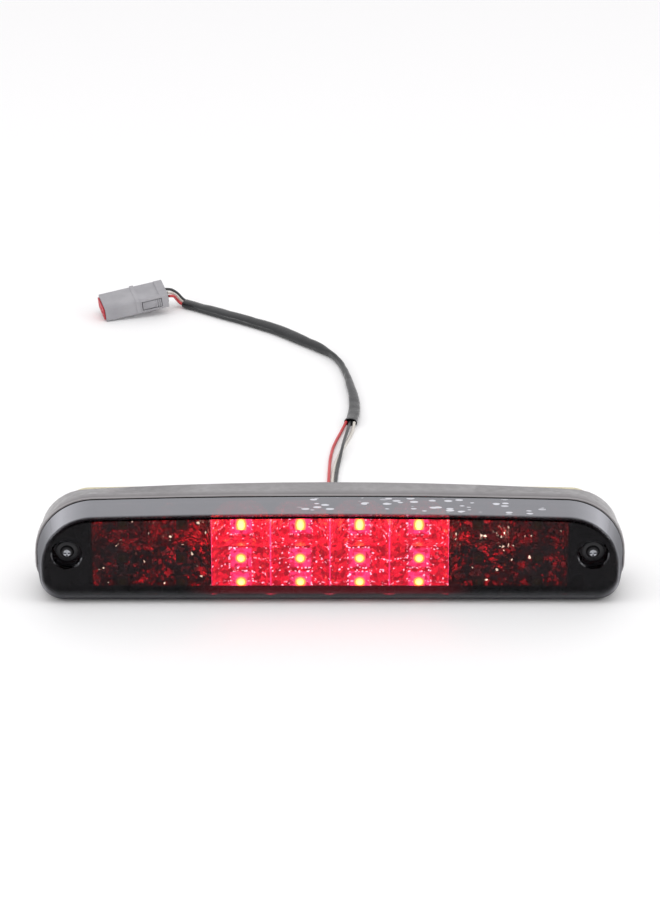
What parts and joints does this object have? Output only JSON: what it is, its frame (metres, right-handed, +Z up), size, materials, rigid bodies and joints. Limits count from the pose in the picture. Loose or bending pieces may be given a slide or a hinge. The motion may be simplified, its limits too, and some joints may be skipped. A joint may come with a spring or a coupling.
{
  "type": "third brake light",
  "caption": "Wide roof-edge stop lamp with a smoked lens over red brake and white cargo LEDs, screw wells in its ends, a rear foam gasket, and a sleeved harness with a plug.",
  "frame": {"origin": "on the floor, under the centre of the lamp's box without its harness", "axes": "+X across the lamp to its right as seen from behind the vehicle facing its lens; +Y from the lens towards the cab; +Z up"},
  "size_m": [0.39, 0.5019, 0.068],
  "materials": {
    "smoked_lens": "clear grey-tinted polycarbonate, polished",
    "seam_adhesive": "cured black adhesive",
    "housing_plastic": "fine moulded grain, half gloss",
    "gasket_foam": "open-cell foam, tan",
    "bezel_plastic": "polished black",
    "reflector_metal": "vacuum-metallised, mirror bright",
    "brake_led_resin": "clear resin over a lit red chip",
    "cargo_led_resin": "clear resin over a yellow phosphor, unlit",
    "circuit_board": "green solder mask",
    "resistor_body": "lacquered",
    "ribbon_film": "white film",
    "zinc_steel": "zinc plated",
    "screw_steel": "black phosphate coat",
    "breather_membrane": "moulded grey",
    "grommet_rubber": "moulded",
    "sleeve_vinyl": "soft vinyl, satin sheen",
    "wire_red": "extruded insulation",
    "wire_white": "extruded insulation",
    "wire_black": "extruded insulation",
    "plug_plastic": "moulded grey nylon",
    "lock_plastic": "moulded red nylon",
    "seal_silicone": "soft grey silicone",
    "terminal_brass": "tin-flashed strip"
  },
  "bodies": {
    "root": {"lens": "smoked_lens", "sealing_bead": "seam_adhesive", "housing": "housing_plastic", "foam_gasket": "gasket_foam", "bezel": "bezel_plastic", "reflector_brake": "reflector_metal", "reflector_cargo_left": "reflector_metal", "reflector_cargo_right": "reflector_metal", "brake_led_1": "brake_led_resin", "brake_led_2": "brake_led_resin", "brake_led_3": "brake_led_resin", "brake_led_4": "brake_led_resin", "brake_led_5": "brake_led_resin", "brake_led_6": "brake_led_resin", "brake_led_7": "brake_led_resin", "brake_led_8": "brake_led_resin", "brake_led_9": "brake_led_resin", "brake_led_10": "brake_led_resin", "brake_led_11": "brake_led_resin", "brake_led_12": "brake_led_resin", "cargo_led_1": "cargo_led_resin", "cargo_led_2": "cargo_led_resin", "cargo_led_3": "cargo_led_resin", "cargo_led_4": "cargo_led_resin", "cargo_led_5": "cargo_led_resin", "cargo_led_6": "cargo_led_resin", "cargo_led_7": "cargo_led_resin", "cargo_led_8": "cargo_led_resin", "cargo_led_9": "cargo_led_resin", "cargo_led_10": "cargo_led_resin", "cargo_led_11": "cargo_led_resin", "cargo_led_12": "cargo_led_resin", "led_board_lower": "circuit_board", "led_board_upper": "circuit_board", "board_screw_left": "zinc_steel", "board_screw_right": "zinc_steel", "board_screw_top": "zinc_steel", "ballast_resistor_1": "resistor_body", "ballast_resistor_2": "resistor_body", "board_ribbon": "ribbon_film", "screw_spacer_left": "zinc_steel", "screw_spacer_right": "zinc_steel", "mounting_screw_left": "screw_steel", "mounting_screw_right": "screw_steel", "breather_plug": "breather_membrane", "harness_grommet": "grommet_rubber", "harness_sleeve": "sleeve_vinyl", "wire_red_lamp_end": "wire_red", "wire_white_lamp_end": "wire_white", "wire_black_lamp_end": "wire_black", "wire_red_plug_end": "wire_red", "wire_white_plug_end": "wire_white", "wire_black_plug_end": "wire_black", "plug_shell": "plug_plastic", "plug_wire_seal": "seal_silicone", "plug_terminal_lock": "lock_plastic", "terminal_1": "terminal_brass", "terminal_2": "terminal_brass", "terminal_3": "terminal_brass"},
    "latch": {"plug_latch": "plug_plastic"}
  },
  "joints": [
    {"name": "latch_flex", "type": "hinge", "parent": "root", "child": "latch", "pos_m": [-0.14489, 0.44393, 0.01028], "axis": [-0.0971, -0.1701, 0.9806], "range_deg": [0, 5], "stiffness_Nm_per_rad": 0.05}
  ]
}
